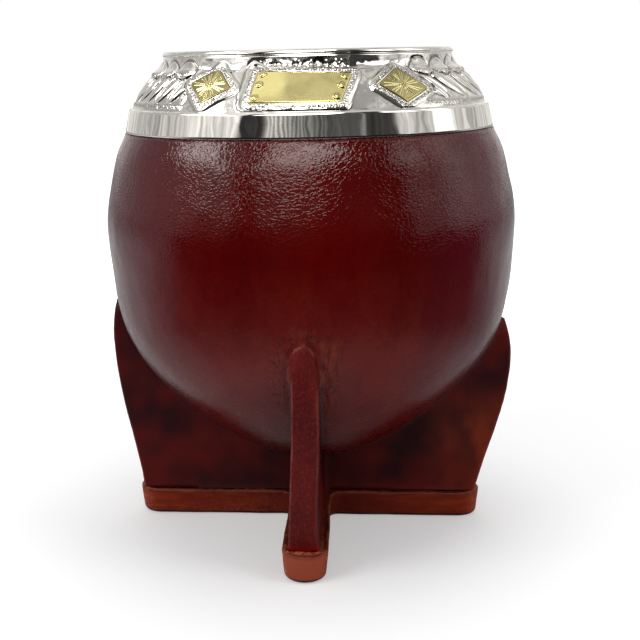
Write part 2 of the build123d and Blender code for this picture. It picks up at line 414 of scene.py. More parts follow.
def body_and_fins(points):
    """Distances outside the leather on the gourd and outside the four fins."""
    body = skin_distance(*to_cup(points)) - LEATHER
    fins = None
    for name in FINS:
        fin = fin_distance(points, name)
        fins = fin if fins is None else smooth_union(fins, fin, FIN_MERGE)
    return body, fins


def cover_outside(points):
    """The leather lies close round the fins' lower part and bridges over softly above."""
    bridge = 0.35 + 1.4 * smooth_step(36, 50, points[:, 2])
    return smooth_union(*body_and_fins(points), bridge)


def cover_field(points):
    x, y, height = to_cup(points)
    inner = skin_distance(x, y, height)
    shell = np.maximum(cover_outside(points), -inner - TOUCH)
    return np.maximum(shell, height - BAND_BASE - TOUCH)


def puckered(points):
    """Where the skin is gathered round the top of the front and back fins, 0 to 1, and how far
    to the fin's side that is."""
    most, across_there = np.zeros(len(points)), np.zeros(len(points))
    for direction, tip, _ in (FINS["front"], FINS["back"]):
        out, across = along_arm(points, direction)
        up = points[:, 2] - tip
        beside = smooth_step(1.5, 3.0, np.abs(across)) * smooth_step(10.0, 5.0, np.abs(across))
        beside = beside * smooth_step(-19, -10, up) * smooth_step(3.5, 0.0, up)
        over = smooth_step(5.5, 2.0, np.hypot(across, up - 1.0)) * smooth_step(-1.5, 0.5, up)
        here = np.maximum(beside, over) * (out > 20)
        across_there = np.where(here > most, across, across_there)
        most = np.maximum(most, here)
    return most, across_there


def cover_wrinkles(points):
    """How far the leather's surface stands out from its plain form, and where it is gathered."""
    relief = 0.10 * noise(points, 9.0, 11) + 0.05 * noise(points, 3.5, 12)
    gathered, across = puckered(points)
    lines = across + 0.7 * noise(points * np.array([1, 1, 0.4]), 2.5, 14)
    pleats = 0.07 * np.sin(lines * 2 * math.pi / PLEAT_WIDTH) + 0.06 * noise(points, 1.5, 15)
    return relief + gathered * pleats, gathered


def make_cover():
    low, high = (np.array(corner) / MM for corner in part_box("leather_cover"))
    cell = COVER_CELL
    points, faces = surface_net(cover_field, low - NET_MARGIN, high + NET_MARGIN, cell)
    points = settle(cover_field, points, faces)
    x, y, height = to_cup(points)
    away = skin_distance(x, y, height) - LEATHER
    fin_share = smooth_step(0.1, 1.5, away)
    outer = smooth_step(-1.0, -0.4, away) * smooth_step(BAND_BASE - 0.1, BAND_BASE - 1.5, height)
    normals = outward_normals(cover_outside, points)
    relief, gathered = cover_wrinkles(points)
    points = points + normals * (relief * outer)[:, None]
    body, fins = body_and_fins(points)
    level = points[:, 2]
    # Painted shade: the crease where the gourd meets the fins is darkened, below the fins' tops.
    crease = np.maximum(body, fins) + 2 * smooth_step(42, 50, level)
    # Painted reflection: where a grey sheen is painted on the gourd close beside the side fins, below
    # their tops.
    beside = smooth_step(9.0, 3.0, fins) * smooth_step(6, 14, np.abs(points[:, 0]))
    piece = new_piece("leather_skin", points, faces)
    set_attribute(piece, "fin", fin_share)
    set_attribute(piece, "pucker", gathered * outer)
    set_attribute(piece, "corner", fin_corner(points))
    set_attribute(piece, "crease", smooth_step(1.5, 0.2, crease))
    set_attribute(piece, "fin_side_painted_reflection", beside * smooth_step(56, 44, level))
    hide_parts("leather_cover")
    return piece, (fin_share[faces].mean(1) > 0.5).astype(np.int32)


# ================================================================ the sole
SOLE_DISH = 0.4        # the sole's top is this much lower round the fins than along its edge
SOLE_EDGE = 0.4        # radius of the sole's edges
SOLE_INNER_ROUND = 3.4  # how softly the arms run into each other
WELT = 0.35            # frayed fibres stand up this high in a low welt round the feet
SOLE_CELL, SOLE_CELL_QUICK = 0.45, 0.7


def sole_outline(points):
    outline = None
    for direction, _, arm in FINS.values():
        out, across = along_arm(points, direction)
        along = np.clip(out, 0, arm - SOLE_HALF_WIDTH)
        distance = np.hypot(out - along, across) - SOLE_HALF_WIDTH
        outline = distance if outline is None else smooth_union(outline, distance, SOLE_INNER_ROUND)
    return outline


def foot_distance(points):
    """How far each place on the sole lies outside the feet of the fins."""
    level = points.copy()
    level[:, 2] = SOLE_TOP + 0.2
    return np.min([fin_distance(level, name) for name in FINS], axis=0)


def sole_field(points):
    z = points[:, 2]
    draw_in = 0.55 * np.clip(1 - z / SOLE_TOP, 0, 1) + 0.8 * np.clip(1 - z / 1.1, 0, 1) ** 2
    uneven = 0.10 * noise(points, 6.0, 21) + 0.05 * noise(points, 1.7, 22)
    side = sole_outline(points) + SOLE_UNDERCUT * draw_in + uneven
    top = SOLE_TOP - SOLE_DISH * smooth_step(0.5, 1.5, -side) + 0.08 * noise(points, 2.0, 23)
    fibres = 0.7 + 0.6 * noise(points, 0.8, 24)
    top = top + WELT * ridge(foot_distance(points), 0.2, 0.5) * fibres
    return rounded(side, np.maximum(z - top, -z), SOLE_EDGE)


def make_sole():
    low, high = (np.array(corner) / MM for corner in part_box("sole"))
    cell = SOLE_CELL
    points, faces = surface_net(sole_field, low - 1.1, high + 1.1, cell)
    points = settle(sole_field, points, faces)
    points[:, 2] = np.maximum(points[:, 2], 0)
    normals = outward_normals(sole_field, points)
    piece = new_piece("sole_leather", points, faces)
    # Convex edges of the sole: worn there, and given a painted highlight by the material.
    bend = ((points - neighbour_mean(points, faces)) * normals).sum(1) / cell ** 2
    set_attribute(piece, "edge", smooth_step(0.08, 0.4, bend))
    set_attribute(piece, "foot", foot_distance(points))
    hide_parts("sole")
    return piece


# ================================================================ the metal rim
SLOPE_LENGTH = math.hypot(SLOPE_RISE, SLOPE_BASE_RADIUS - SLOPE_TOP_RADIUS)
SLOPE_NORMAL = np.array([SLOPE_RISE, SLOPE_BASE_RADIUS - SLOPE_TOP_RADIUS]) / SLOPE_LENGTH


def slope_point(share, lift=0.0):
    """Radius and height of a place on the ornamented slope, or lifted off it."""
    bulge = SLOPE_BULGE * 4 * share * (1 - share) + lift
    radius = SLOPE_BASE_RADIUS - (SLOPE_BASE_RADIUS - SLOPE_TOP_RADIUS) * share
    return radius + SLOPE_NORMAL[0] * bulge, BAND_TOP + SLOPE_RISE * share + SLOPE_NORMAL[1] * bulge


def flat_place(degrees, share, middle):
    """Millimetres round and up the slope from the middle of an ornament."""
    turn = (degrees - middle[0] + 180) % 360 - 180
    return np.radians(turn) * slope_point(share)[0], (share - middle[1]) * SLOPE_LENGTH


def flat_corners(corners):
    """The middle of an ornament, and its corners in millimetres from there."""
    middle = tuple(np.mean(corners, axis=0))
    return middle, [tuple(float(a) for a in flat_place(*corner, middle)) for corner in corners]


def polygon_distance(u, v, corners):
    """Signed distance to a polygon whose corners run anticlockwise; negative inside."""
    nearest, inside = np.full(u.shape, 1e9), np.ones(u.shape, bool)
    for (ax, ay), (bx, by) in zip(corners, corners[1:] + corners[:1]):
        ex, ey = bx - ax, by - ay
        share = np.clip(((u - ax) * ex + (v - ay) * ey) / (ex * ex + ey * ey), 0, 1)
        nearest = np.minimum(nearest, np.hypot(u - ax - share * ex, v - ay - share * ey))
        inside &= ex * (v - ay) - ey * (u - ax) > 0
    return np.where(inside, -nearest, nearest)


# The raised borders round the brass pieces.
BORDER_WIDTH, BORDER_HEIGHT = 1.32, 0.20
BEZEL_HEIGHT = 0.36
PLATEAU_HEIGHT = 0.16
BEAD_HEIGHT, BEAD_SIZE = 0.30, 0.58
PLATE_SWELL = 0.9       # the border swells out smooth and broad at the plate's left end


def frame_relief(degrees, share, corners, seed, swell):
    """The raised border round one brass piece: a thin bezel, a row of beads, a smooth edge."""
    middle, flat = flat_corners(corners)
    u, v = flat_place(degrees, share, middle)
    distance = polygon_distance(u, v, flat)
    wander = 0.15 * noise(np.stack([u, v], -1), 2.2, seed)
    outer = distance + wander - swell * smooth_step(-6.0, -9.5, u)
    plateau = PLATEAU_HEIGHT * smooth_step(BORDER_WIDTH + 1.0, BORDER_WIDTH - 0.3, outer)
    bezel = BEZEL_HEIGHT * ridge(distance, 0.16, 0.18)
    beads = BEAD_HEIGHT * pebbles(u, v, BEAD_SIZE, seed + 1) * smooth_step(0.3, 0.5, distance)
    beads = beads * smooth_step(BORDER_WIDTH - 0.1, BORDER_WIDTH - 0.4, distance)
    rim = BORDER_HEIGHT * ridge(outer, BORDER_WIDTH, 0.36)
    under_plate = smooth_step(0.02, -0.15, distance)
    height = (plateau + bezel + beads + rim) * (1 - under_plate)
    rough = smooth_step(0.3, 0.5, distance) * smooth_step(BORDER_WIDTH, BORDER_WIDTH - 0.4, distance)
    return height, rough, smooth_step(BORDER_WIDTH + 1.0, BORDER_WIDTH + 0.3, outer)


# The leaves left and right: degrees from the front to the first, from one to the next and
# from a leaf's foot to its tip, and half its width in millimetres.
LEFT_LEAVES = (43.5, 7.0, 4.5, 1.75)
RIGHT_LEAVES = (44.5, 11.5, -10.0, 2.7)
LEAF_START, LEAF_END = 40.0, 140.0
LEAF_MIDDLE, LEAF_HALF_LENGTH = 0.47, 0.34       # shares of the slope's height
LOBE_FIRST, LOBE_PITCH = 46.5, 11.5
LOBE_HALF_WIDTH, LOBE_HALF_HEIGHT = 5.4, 0.20    # degrees, and share of the slope
LOBE_SHARE, LOBE_SWELL = 0.90, 0.62


def side_zone(round_side, soft):
    """1 beside the ornaments, where the leaves and lobes are, 0 at front and back."""
    low = smooth_step(LEAF_START - 1 - soft, LEAF_START + 1 - soft, round_side)
    return low * smooth_step(LEAF_END + 1 + soft, LEAF_END - 1 + soft, round_side)


def leaf_relief(degrees, share, seed):
    """Slanting almond leaves with sunk outlines, one after another round each side."""
    right = degrees >= 0
    first, pitch, slant, width = (np.where(right, b, a) for a, b in zip(LEFT_LEAVES, RIGHT_LEAVES))
    slanted = degrees - slant * (share - LEAF_MIDDLE) / 0.55
    number = np.round((np.abs(slanted) - first) / pitch)
    centre = np.where(right, 1, -1) * (first + number * pitch)
    cell = np.stack([number.astype(np.int64) + 100 * right, np.zeros(number.shape, np.int64)], -1)
    vary = hashed(cell, seed)
    across = np.radians(slanted - centre) * slope_point(share)[0]
    along = (share - LEAF_MIDDLE) / (LEAF_HALF_LENGTH + 0.04 * (vary - 0.5))
    half = width * np.clip(1 - along ** 2, 0, 1) ** 0.75 + 1e-3
    inside = np.abs(across) / half
    body = np.where(inside < 1, np.sqrt(np.clip(1 - inside ** 2, 0, 1)), 0)
    leaf = (0.28 + 0.07 * width) * body * np.clip(1.15 - along ** 2, 0, 1)
    vein = 0.14 * ridge(np.abs(across), 0.0, 0.16) * (inside < 0.9)
    groove = 0.26 * ridge(inside, 1.12, 0.16) * (np.abs(along) < 1)
    inner = 0.12 * ridge(inside, 0.72, 0.10) * (np.abs(along) < 0.9) * right
    zone = side_zone(np.abs(degrees), 1)
    return (leaf - vein - groove - inner) * zone, zone


def lobe_relief(degrees, share):
    """Smooth round lobes pressed up below the lip, over the leaves."""
    round_side = np.abs(degrees)
    number = np.round((round_side - LOBE_FIRST) / LOBE_PITCH)
    across = (round_side - LOBE_FIRST - number * LOBE_PITCH) / LOBE_HALF_WIDTH
    up = (share - LOBE_SHARE) / LOBE_HALF_HEIGHT
    dome = np.clip(1 - across ** 2 - up ** 2, 0, 1) ** 0.5
    outline = 0.12 * ridge(np.hypot(across, up), 1.08, 0.09)
    return (LOBE_SWELL * dome - outline) * side_zone(round_side, 0)


SLOPE_MIDDLE_RADIUS = 37.0
STIPPLE_ROWS = ((0.78, 0.045), (0.10, 0.05))     # share of the slope's height, and half width
STIPPLE_HEIGHT, STIPPLE_SIZE = 0.22, 0.5


def slope_relief(degrees, share):
    """Everything chased into the slope: its height and how matt it is, for each place."""
    u, v = np.radians(degrees) * SLOPE_MIDDLE_RADIUS, share * SLOPE_LENGTH
    flat = np.stack([u, v], -1)
    height = 0.08 * noise(flat, 4.0, 31) + 0.03 * noise(flat, 1.5, 32)
    height = height + 0.22 * noise(flat, 4.6, 37) * smooth_step(0.78, 0.92, share)
    leaf, leaf_zone = leaf_relief(degrees, share, 33)
    height = height + leaf + lobe_relief(degrees, share)
    rough = sum(ridge(share, *row) for row in STIPPLE_ROWS) * leaf_zone
    height = height + STIPPLE_HEIGHT * pebbles(u, v, STIPPLE_SIZE, 34) * rough
    cover = np.zeros_like(share)
    for turn in ORNAMENT_TURNS.values():
        for number, corners in enumerate((PLATE, LEFT_DIAMOND, RIGHT_DIAMOND)):
            placed = [(degrees_ + turn, share_) for degrees_, share_ in corners]
            swell = PLATE_SWELL if corners is PLATE else 0.0
            raised, matted, here = frame_relief(degrees, share, placed, 40 + number, swell)
            height = height * (1 - here) + raised
            rough = np.maximum(rough * (1 - here), matted)
            cover = np.maximum(cover, here)
        # Punched ground between the plate and the lip.
        across = (degrees - turn + 180) % 360 - 180
        ground = smooth_step(17, 12.5, np.abs(across - 1)) * smooth_step(0.80, 0.88, share)
        ground = ground * smooth_step(1.12, 1.06, share)
        ground = ground * (1 - cover)
        height = height + ground * (0.20 * noise(flat, 0.8, 36) + 0.12 * noise(flat, 0.4, 38))
        rough = np.maximum(rough, ground)
    fade = smooth_step(-0.01, 0.03, share) * smooth_step(1.15, 1.08, share)
    return height * fade, rough


COLLAR_SHARE = 0.88     # the slope bends up into the wall from here
WALL_SHARE = 1.15       # share given to the wall's top
COLLAR_RADIUS = 33.15   # the upright wall under the lip
GROOVE_HEIGHT = 111.0   # the fine groove between wall and lip
LIP_ROUND = 0.55        # radius of the lip's inner edge
LIP_REACH = 0.7         # the lip's outer edge is a quarter oval this wide
LIP_CREST_RADIUS = 32.6
EDGE = 0.3              # how far the band's edges are softened
SLOPE_ROWS, SLOPE_ROWS_QUICK = 72, 36


def rim_profile():
    """The rim's section, from the band's lower inner edge over the outside to the sleeve and
    back inside: radius, height and share of the slope, or -1 off the slope."""
    rows = []

    def follow(corners, counts):
        for a, b, count in zip(corners, corners[1:], counts):
            for k in range(count):
                t = k / count
                rows.append((a[0] + (b[0] - a[0]) * t, a[1] + (b[1] - a[1]) * t, -1.0))

    base, top = BAND_BASE_RADIUS, BAND_TOP_RADIUS
    follow([(base - 1.0, BAND_BASE), (base - EDGE, BAND_BASE), (base, BAND_BASE + EDGE),
            (top + 0.05, BAND_TOP - EDGE), (top - EDGE, BAND_TOP), slope_point(0.0)], (2, 3, 14, 3, 2))
    count = SLOPE_ROWS
    for k in range(count):
        share = k / count * COLLAR_SHARE
        rows.append((*slope_point(share), share))
    foot, wall_top = slope_point(COLLAR_SHARE), (COLLAR_RADIUS, GROOVE_HEIGHT - 0.1)
    bend = (COLLAR_RADIUS + 0.1, foot[1] + 0.5)
    count = count // 4
    for k in range(count):
        t = k / count
        places = [(1 - t) ** 2 * a + 2 * t * (1 - t) * b + t * t * c
                  for a, b, c in zip(foot, bend, wall_top)]
        rows.append((*places, COLLAR_SHARE + t * (WALL_SHARE - COLLAR_SHARE)))
    lip_base = GROOVE_HEIGHT + 0.2
    follow([wall_top, (COLLAR_RADIUS - 0.25, GROOVE_HEIGHT + 0.05), (COLLAR_RADIUS, lip_base)], (3, 3))
    for turn in np.linspace(0.15, 0.5 * math.pi, 10):
        rows.append((LIP_CREST_RADIUS + LIP_REACH * math.cos(turn),
                     lip_base + (RIM_TOP - lip_base) * math.sin(turn), -1.0))
    for turn in np.linspace(0.5 * math.pi, math.pi, 8):
        rows.append((MOUTH_RADIUS + LIP_ROUND * (1 + math.cos(turn)),
                     RIM_TOP + LIP_ROUND * (math.sin(turn) - 1), -1.0))
    sleeve = MOUTH_RADIUS + SLEEVE_WALL
    follow([(MOUTH_RADIUS, RIM_TOP - LIP_ROUND - 0.2), (MOUTH_RADIUS, SLEEVE_BASE),
            (sleeve, SLEEVE_BASE), (sleeve, BAND_TOP + 0.85 * SLOPE_RISE),
            (top - 1.2, BAND_TOP - 0.9), (base - 1.0, BAND_BASE)], (10, 2, 2, 3, 2))
    return np.array(rows)


RIM_COLUMNS, RIM_COLUMNS_QUICK = 1440, 720
RECESS_REACH = 3        # a place is sunk when it lies below those this many steps away


def ring_points(degrees, radius, height):
    """Places round the leaning cup's axis, given as degrees from the front, radius and height."""
    turn = np.radians(degrees)
    return from_cup(radius * np.sin(turn), -radius * np.cos(turn), height)


def make_rim():
    profile = rim_profile()
    columns = RIM_COLUMNS
    degrees = np.arange(columns) * 360 / columns - 180
    radius, height, share = (np.repeat(part[:, None], columns, 1) for part in profile.T)
    around = np.repeat(degrees[None], len(profile), 0)
    on_slope = share >= 0
    relief, rough = slope_relief(around[on_slope], share[on_slope])
    radius[on_slope] += SLOPE_NORMAL[0] * relief
    height[on_slope] += SLOPE_NORMAL[1] * relief
    # The polished sheet is slightly uneven, as hand work is.
    turn = np.radians(around)
    places = np.stack([radius * np.sin(turn), -radius * np.cos(turn), height], -1)
    radius = radius + 0.05 * noise(places, 7.0, 51) + 0.02 * noise(places, 2.5, 52)
    height = height + 0.04 * noise(places, 9.0, 53)
    points = ring_points(around, radius, height).reshape(-1, 3)
    faces = grid_faces(len(profile), columns, closed_rows=True, closed_columns=True)
    piece = new_piece("rim_relief", points, faces)
    matted, lift = np.zeros(share.shape), np.zeros(share.shape)
    matted[on_slope], lift[on_slope] = rough, relief
    mean = sum(np.roll(lift, step, axis) for step in (-RECESS_REACH, RECESS_REACH) for axis in (0, 1)) / 4
    set_attribute(piece, "matted", matted)
    set_attribute(piece, "recess", np.clip((mean - lift) * 9, 0, 1))
    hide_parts("rim")
    return piece


# ================================================================ brass ornaments
STAR_RAYS = 11
STAR_DOTS, DOT_RING = 7, 0.62      # dots round the star's middle, and their distance from it
CUT_DEPTH = 0.10
PLATE_SUNK, BORDER_SUNK = 0.25, 0.2    # the underside and the border lie this deep in the slope
PLATE_SOFT = 0.22                  # width of a plate's softened edge
ORNAMENT_STEP, ORNAMENT_STEP_QUICK = 0.13, 0.3
PEARL_SIDES = 20
# A pearl's section from its middle outward: radius and height over its centre.
PEARL = [(0.01, 0.06), (0.16, 0.05), (0.30, 0.00), (0.40, -0.03), (0.52, 0.01), (0.64, 0.02),
         (0.76, -0.03), (0.86, -0.14), (0.86, -0.45)]


def star_relief(u, v, edge):
    """A star cut into a diamond: pairs of lines spreading from a small ring of dots.
    Gives the height and how much of each place is cut."""
    cut = np.zeros(u.shape)
    for ray in range(STAR_RAYS):
        way = 2 * math.pi * (ray + 0.35) / STAR_RAYS
        along = u * math.cos(way) + v * math.sin(way)
        across = np.abs(v * math.cos(way) - u * math.sin(way))
        apart = 0.06 + 0.075 * along
        line = 0.8 * ridge(across, apart, 0.085) * smooth_step(0.75, 1.0, along)
        cut = np.maximum(cut, line * smooth_step(0.35, 0.8, edge))
    relief = 0.10 * ridge(np.hypot(u, v), 0, 0.25) - CUT_DEPTH * cut
    for dot in range(STAR_DOTS):
        way = 2 * math.pi * dot / STAR_DOTS
        gap = np.hypot(u - DOT_RING * math.cos(way), v - DOT_RING * math.sin(way))
        relief += 0.12 * ridge(gap, 0, 0.2)
    return relief, cut


def make_ornament(name, corners, engraved, seed):
    """A thin brass plate that lies on the slope, with its cut pattern and softened edges."""
    corners = np.array(corners)
    middle, flat = flat_corners(corners)
    span_u, span_v = np.ptp(flat, axis=0)
    step = ORNAMENT_STEP
    rows, columns = int(span_v / step * 1.2), int(span_u / step)
    a, b = np.meshgrid(np.linspace(0, 1, columns), np.linspace(0, 1, rows))
    edge_a = ((1 - a)[..., None] * corners[0] + a[..., None] * corners[1])
    edge_b = ((1 - a)[..., None] * corners[3] + a[..., None] * corners[2])
    place = (1 - b)[..., None] * edge_a + b[..., None] * edge_b
    degrees, share = place[..., 0], place[..., 1]
    u, v = flat_place(degrees, share, middle)
    inside = -polygon_distance(u, v, flat)
    height = PLATE_THICKNESS * (0.35 + 0.65 * smooth_step(0, PLATE_SOFT, inside))
    height = height + 0.05 * noise(np.stack([u, v], -1), 3.0, seed)
    cut = np.zeros(height.shape)
    if engraved:
        star, cut = star_relief(u, v, inside)
        height = height + star
    border = np.zeros(height.shape, bool)
    border[0] = border[-1] = border[:, 0] = border[:, -1] = True
    height = np.where(border, -BORDER_SUNK, height)
    points, under = (ring_points(degrees, *slope_point(share, lift)).reshape(-1, 3)
                     for lift in (height, -PLATE_SUNK))
    top = grid_faces(rows, columns)
    count = rows * columns
    ring = np.concatenate([
        np.arange(columns), np.arange(1, rows) * columns + columns - 1,
        (rows - 1) * columns + np.arange(columns - 2, -1, -1), np.arange(rows - 2, 0, -1) * columns,
    ])
    after = np.roll(ring, -1)
    walls = np.stack([ring, ring + count, after + count, after], -1)
    faces = np.concatenate([top, top[:, ::-1] + count, walls])
    piece = new_piece(name + "_brass", np.concatenate([points, under]), faces)
    # The cut lines, which the brass material paints with a highlight.
    set_attribute(piece, "cut", np.concatenate([cut.ravel(), np.zeros(count)]))
    set_attribute(piece, "satin", np.full(2 * count, float(engraved)))
    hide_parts(name)
    return piece


def make_pearl(node):
    """One small soldered pearl: a dome in a raised ring."""
    low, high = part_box(node)
    middle = np.array((low + high) / 2) / MM
    x, y, height = (float(a[0]) for a in to_cup(middle[None]))
    turn = math.atan2(x, -y)
    facing = math.sin(turn) * SLOPE_NORMAL[0] * CUP_X + SLOPE_NORMAL[1] * CUP_Z
    facing = facing + np.array([0, -math.cos(turn) * SLOPE_NORMAL[0], 0])
    side = np.cross(facing, CUP_Z)
    side /= np.linalg.norm(side)
    other = np.cross(facing, side)
    around = np.arange(PEARL_SIDES) * 2 * math.pi / PEARL_SIDES
    rings = []
    for radius, lift in PEARL:
        wobble = radius * (1 + 0.06 * np.sin(3 * around + middle[0]))
        rings.append(middle + np.outer(np.cos(around) * wobble, side)
                     + np.outer(np.sin(around) * wobble, other) + lift * facing)
    faces = grid_faces(len(PEARL), PEARL_SIDES, closed_columns=True)
    piece = new_piece(node + "_pearl", np.concatenate(rings), faces)
    set_attribute(piece, "satin", np.full(len(PEARL) * PEARL_SIDES, 0.9))
    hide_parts(node)
    return piece


# ================================================================ materials
# Colours as they look on a screen, 0 to 255.
TONES = {
    "dye": (70, 1, 2), "dye_bright": (84, 2, 1), "dye_thin": (102, 28, 12), "dye_low": (104, 14, 12),
    # Two of the next colours are painted: a purple-grey sheen for the gourd's sides and a grey reflection
    # for beside the fins.
    "painted_side_sheen": (70, 20, 32), "dye_pore": (44, 3, 4), "painted_reflection_by_fin": (96, 58, 62),
    "fin_dark": (50, 4, 8), "fin_red": (74, 9, 7), "fin_front": (90, 12, 11),
    # The first colour on the next line is painted shade for the side fins under the gourd.
    "side_fin_painted_shade": (42, 3, 8), "side_red": (80, 9, 5), "side_tan": (132, 44, 16),
    "fin_rubbed": (128, 44, 38), "fin_pit": (48, 5, 8),
    # The pale corner colour on the next line is a painted highlight, and the crease colour after it is
    # painted shade.
    "pucker_rubbed": (118, 44, 18), "crack": (30, 3, 5), "corner_painted_highlight": (142, 78, 78),
    "red_foot": (122, 8, 4), "crease": (22, 2, 4),
    "sole": (116, 32, 10), "sole_light": (138, 48, 18), "sole_patch": (96, 20, 10),
    # The sole colours below include painted shade under the cup, a painted contact shadow at its foot, and
    # a painted highlight on its edges.
    "sole_top": (52, 10, 10), "sole_painted_shade": (66, 8, 6), "sole_tip": (168, 84, 62),
    "sole_frayed": (204, 118, 78), "sole_painted_contact_shadow": (20, 5, 5), "sole_worn_and_highlit_edge": (150, 86, 60),
    "silver": (226, 224, 219), "silver_light": (236, 235, 231),
    "silver_matt": (164, 159, 149), "silver_recess": (96, 92, 86),
    "brass": (214, 202, 138), "brass_light": (236, 224, 160),
    # The cut colour on the next line is a painted highlight.
    "brass_satin": (150, 142, 92), "brass_cut_highlight": (240, 234, 188),
    "gourd": (168, 132, 88), "gourd_light": (192, 158, 110), "gourd_fibre": (122, 88, 56),
    # The last floor colour is seen only in reflections: a painted dark reflection.
    "floor": (226, 226, 227), "floor_light": (230, 230, 230), "floor_dark_in_reflections": (34, 33, 32),
}
WHITE = (1, 1, 1, 1)


def tone(name):
    """A named colour as the linear values of the shaders."""
    linear = [((c / 255 + 0.055) / 1.055) ** 2.4 if c > 10 else c / 255 / 12.92 for c in TONES[name]]
    return (*linear, 1.0)


class Graph:
    """The shader nodes of one material or world, added and joined in short calls."""

    def __init__(self, owner):
        owner.use_nodes = True
        self.owner, self.tree = owner, owner.node_tree
        self.tree.nodes.clear()

    def add(self, kind, inputs=None, output=0, **settings):
        node = self.tree.nodes.new("ShaderNode" + kind)
        for key, value in settings.items():
            setattr(node, key, value)
        for key, value in (inputs or {}).items():
            if isinstance(value, bpy.types.NodeSocket):
                self.tree.links.new(value, node.inputs[key])
            else:
                node.inputs[key].default_value = value
        return node.outputs[output]

    def math(self, operation, a, b=0.0):
        return self.add("Math", {0: a, 1: b}, operation=operation)

    def times(self, value, *others):
        for other in others:
            value = self.math("MULTIPLY", value, other)
        return value

    def plus(self, a, b):
        return self.math("ADD", a, b)

    def minus(self, a, b):
        return self.math("SUBTRACT", a, b)

    def scaled(self, vector, scale):
        return self.add("VectorMath", {0: vector, 1: scale}, operation="MULTIPLY")

    def place(self, scale=(1, 1, 1)):
        """The place in the part's frame in millimetres, stretched by a scale."""
        return self.scaled(self.add("TexCoord", output="Object"), tuple(s / MM for s in scale))

    def split(self, vector):
        return self.add("SeparateXYZ", {0: vector}).node.outputs

    def noise(self, place, size, detail=4.0, rough=0.55, distortion=0.0, output=0):
        return self.add("TexNoise", {"Vector": place, "Scale": 1 / size, "Detail": detail,
                                     "Roughness": rough, "Distortion": distortion}, output)

    def range(self, value, low, high, to_low=0.0, to_high=1.0, smooth=False):
        inputs = {"Value": value, "From Min": low, "From Max": high, "To Min": to_low, "To Max": to_high}
        kind = "SMOOTHSTEP" if smooth else "LINEAR"
        return self.add("MapRange", inputs, clamp=True, interpolation_type=kind)

    def mix(self, share, a, b):
        """Mixes two colours, each a socket or a name from TONES."""
        a, b = (tone(c) if isinstance(c, str) else c for c in (a, b))
        return self.add("Mix", {0: share, 6: a, 7: b}, 2, data_type="RGBA")

    def layers(self, colour, *layers):
        """Lays colours over the first one after another, each by its share."""
        for share, over in layers:
            colour = self.mix(share, colour, over)
        return colour

    def attribute(self, name):
        return self.add("Attribute", output="Fac", attribute_name=name)

    def bump(self, height, distance, normal=None):
        inputs = {"Height": height, "Distance": distance * MM, "Strength": 1.0}
        if normal is not None:
            inputs["Normal"] = normal
        return self.add("Bump", inputs)

    def finish(self, shader, kind="Material"):
        output = self.tree.nodes.new("ShaderNodeOutput" + kind)
        self.tree.links.new(shader, output.inputs["Surface"])
        return self.owner

    def principled(self, colour, rough, normal, specular=0.5, metallic=0.0):
        """Ends the graph with a solid surface and gives the material."""
        return self.finish(self.add("BsdfPrincipled", {
            "Base Color": colour, "Roughness": rough, "Normal": normal,
            "Specular IOR Level": specular, "Metallic": metallic,
        }))


def new_material(name):
    """A new material's graph, and the place on the piece in millimetres."""
    g = Graph(bpy.data.materials.new(name))
    return g, g.place()


def gourd_dye_and_painted_sheen(g, here, low, patches):
    """Deep red, with a painted purple-grey sheen to the left and right, rubbed thin and brownish low down
    in front, and a painted grey reflection beside the side fins.
    """
    wide = g.noise(g.place((1, 1, 0.45)), 22.0, 3.0)
    side = g.math("ABSOLUTE", g.split(here)[0])
    return g.layers(
        "dye",
        (g.range(wide, 0.38, 0.62), "dye_bright"),
        (g.times(g.range(patches, 0.42, 0.66), g.plus(0.12, g.times(low, 0.6))), "dye_thin"),
        (g.times(low, 0.55), "dye_low"),
        # Painted sheen: a purple-grey tint to the left and right, where the leather would catch light at a
        # slant.
        (g.range(side, 16, 42, 0, 0.65, smooth=True), "painted_side_sheen"),
        (g.range(g.noise(here, 0.8, 5.0), 0.5, 0.75, 0, 0.4), "dye_pore"),
        # Painted reflection: grey on the gourd beside the side fins.
        (g.times(g.attribute("fin_side_painted_reflection"), 0.55), "painted_reflection_by_fin"))


def fin_dye_and_painted_shade(g, here, front, patches):
    """Dark red, the side fins painted darker than the front one as shade under the gourd: patched and tan
    low down on the side fins, rubbed and pitted on the front one.
    """
    x, _, z = g.split(here)
    pits = g.noise(here, 0.55, 4.0, 0.65)
    lower = g.times(g.range(x, 24, 42, smooth=True), g.range(z, 38, 18, smooth=True))
    # The side fins start from a painted shade, darker than the front fin, as if shaded by the gourd.
    side = g.layers(
        "side_fin_painted_shade",
        (g.range(g.noise(here, 16.0, 2.0), 0.42, 0.6), "side_red"),
        (g.times(lower, g.range(patches, 0.35, 0.6, 0.3, 0.9)), "side_tan"))
    return g.layers(
        "fin_dark",
        (g.range(patches, 0.4, 0.65), "fin_red"),
        (g.times(front, g.range(patches, 0.35, 0.6, 0.5, 1.0)), "fin_front"),
        (g.minus(1.0, front), side),
        (g.times(g.range(pits, 0.5, 0.7, 0, 0.45), front), "fin_rubbed"),
        (g.times(g.range(pits, 0.48, 0.34, 0, 0.4), front), "fin_pit"))


